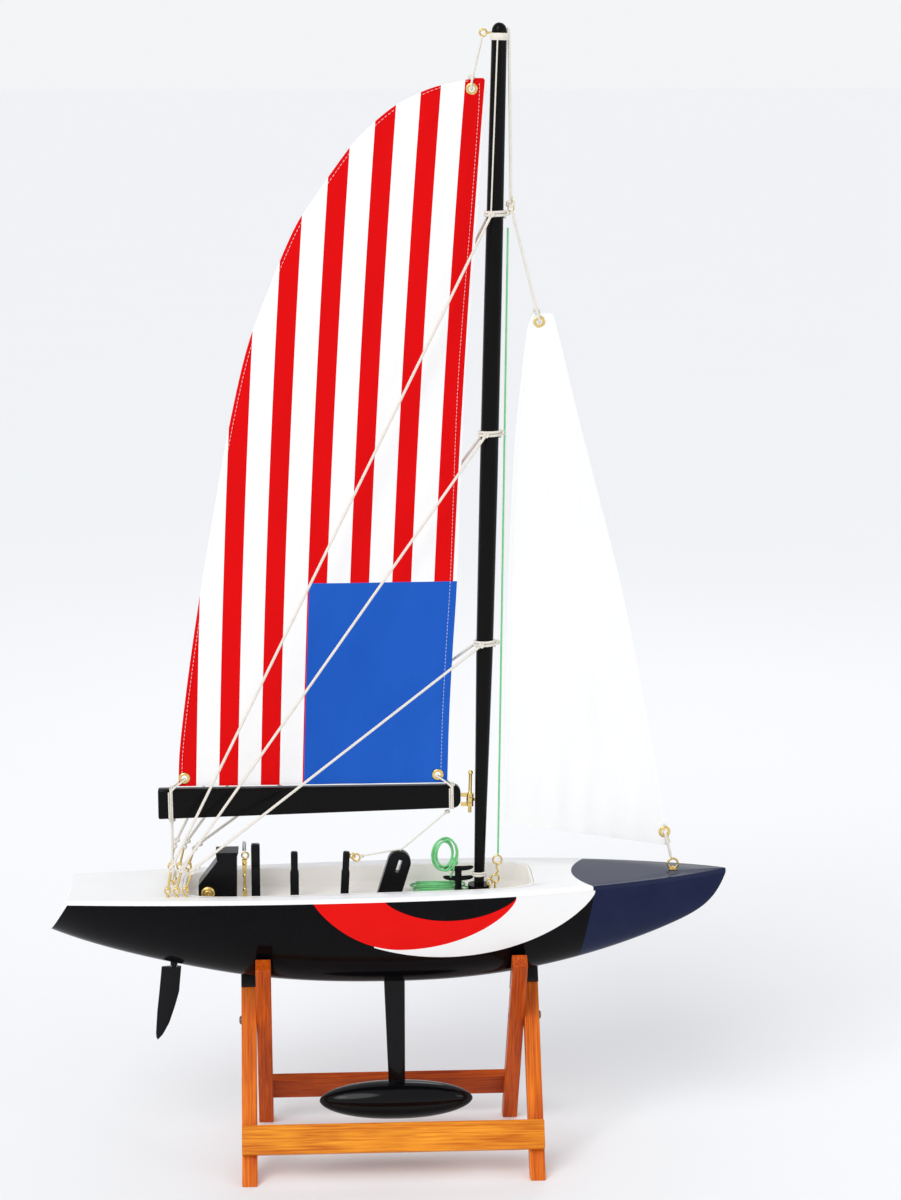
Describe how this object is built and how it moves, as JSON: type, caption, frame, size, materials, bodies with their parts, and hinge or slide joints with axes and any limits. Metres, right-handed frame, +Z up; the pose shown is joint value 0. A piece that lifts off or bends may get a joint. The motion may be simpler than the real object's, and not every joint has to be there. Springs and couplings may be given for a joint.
{
  "type": "model sailing yacht on a stand",
  "caption": "Radio controlled sailing yacht with a fin keel and bulb, striped mainsail, white jib and cord rigging, resting in a crossed-leg wooden stand.",
  "frame": {"origin": "on the floor, at the middle of the hull's length and of the stand's depth", "axes": "+X towards the bow, +Y to port, +Z up the mast"},
  "size_m": [0.4648, 0.1282, 0.7739],
  "materials": {
    "stand_wood": "satin varnish",
    "stand_screw": "plain",
    "stand_pad": "soft matt",
    "hull_paint": "high gloss",
    "deck_paint": "gloss",
    "well_paint": "satin",
    "keel_paint": "gloss",
    "brass": "polished",
    "spar_lacquer": "gloss lacquer",
    "white_cord": "twisted",
    "green_cord": "twisted",
    "black_fitting": "gloss",
    "tray_wood": "bare",
    "servo_case": "moulded",
    "battery_wrap": "shrink wrap",
    "steel": "drawn",
    "nylon": "moulded",
    "main_cloth": "satin",
    "jib_cloth": "satin"
  },
  "bodies": {
    "stand": {"stand_leg_aft_outer": "stand_wood", "stand_leg_aft_inner": "stand_wood", "stand_leg_fore_inner": "stand_wood", "stand_leg_fore_outer": "stand_wood", "stand_rail_front": "stand_wood", "stand_rail_rear": "stand_wood", "stand_cross_screws": "stand_screw", "stand_pads": "stand_pad"},
    "boat": {"hull_shell": "hull_paint", "deck": "deck_paint", "sunken_deck": "well_paint", "keel_fin": "keel_paint", "keel_bulb": "keel_paint", "rudder_tube": "brass", "mast": "spar_lacquer", "mast_step": "spar_lacquer", "mast_loops": "white_cord", "masthead_eye": "brass", "gooseneck_mast_eye": "brass", "starboard_stays": "white_cord", "port_stays": "white_cord", "stay_hooks": "brass", "deck_eyes": "brass", "bow_eye": "brass", "mast_foot_eye": "brass", "horn_cleat": "black_fitting", "green_line": "green_cord", "green_coil": "green_cord", "green_hank": "green_cord", "jib_halyard": "white_cord", "kicker_cord": "white_cord", "mainsheet": "white_cord", "console": "black_fitting", "console_disc": "brass", "cockpit_post_aft": "black_fitting", "cockpit_post_middle": "black_fitting", "cockpit_post_fore": "black_fitting", "brass_tangs": "brass", "slotted_fairlead": "black_fitting", "servo_tray": "tray_wood", "rudder_servo": "servo_case", "sail_servo": "servo_case", "receiver": "servo_case", "battery_pack": "battery_wrap"},
    "rudder": {"rudder_blade": "keel_paint", "rudder_stock": "steel", "tiller_arm": "nylon"},
    "servo_arm": {"rudder_servo_arm": "nylon"},
    "pushrod": {"pushrod": "steel"},
    "sail_arm": {"sail_servo_arm": "nylon"},
    "boom": {"boom": "spar_lacquer", "gooseneck_boom_eye": "brass", "boom_lashings": "white_cord", "mainsail": "main_cloth", "mainsail_grommets": "brass", "mainsail_head_cord": "white_cord"},
    "jib": {"jib": "jib_cloth", "jib_grommets": "brass", "jib_cords": "white_cord"}
  },
  "joints": [
    {"name": "boat_lift", "type": "slide", "parent": "stand", "child": "boat", "axis": [0, 0, 1], "range_m": [0, 0.14]},
    {"name": "rudder_turn", "type": "hinge", "parent": "boat", "child": "rudder", "pos_m": [-0.149, 0, 0.15], "axis": [0, 0, 1], "range_deg": [-35, 35]},
    {"name": "servo_arm_turn", "type": "hinge", "parent": "boat", "child": "servo_arm", "pos_m": [-0.07, 0, 0.167], "axis": [0, 0, 1], "range_deg": [-35, 35]},
    {"name": "pushrod_swing", "type": "hinge", "parent": "servo_arm", "child": "pushrod", "pos_m": [-0.07, 0.01, 0.168], "axis": [0, 0, 1], "range_deg": [-35, 35]},
    {"name": "sail_arm_turn", "type": "hinge", "parent": "boat", "child": "sail_arm", "pos_m": [-0.015, 0, 0.171], "axis": [0, 0, 1], "range_deg": [-45, 45]},
    {"name": "boom_swing", "type": "hinge", "parent": "boat", "child": "boom", "pos_m": [0.055, 0, 0.252], "axis": [0.0209, 0, 0.9998], "range_deg": [-5, 5]},
    {"name": "jib_swing", "type": "hinge", "parent": "boat", "child": "jib", "pos_m": [0.1955, 0, 0.203], "axis": [-0.2445, 0, 0.9696], "range_deg": [-8, 8]}
  ],
  "couplings": [
    {"joint": "servo_arm_turn", "follows": "rudder_turn", "ratio": 1},
    {"joint": "pushrod_swing", "follows": "rudder_turn", "ratio": -1}
  ]
}
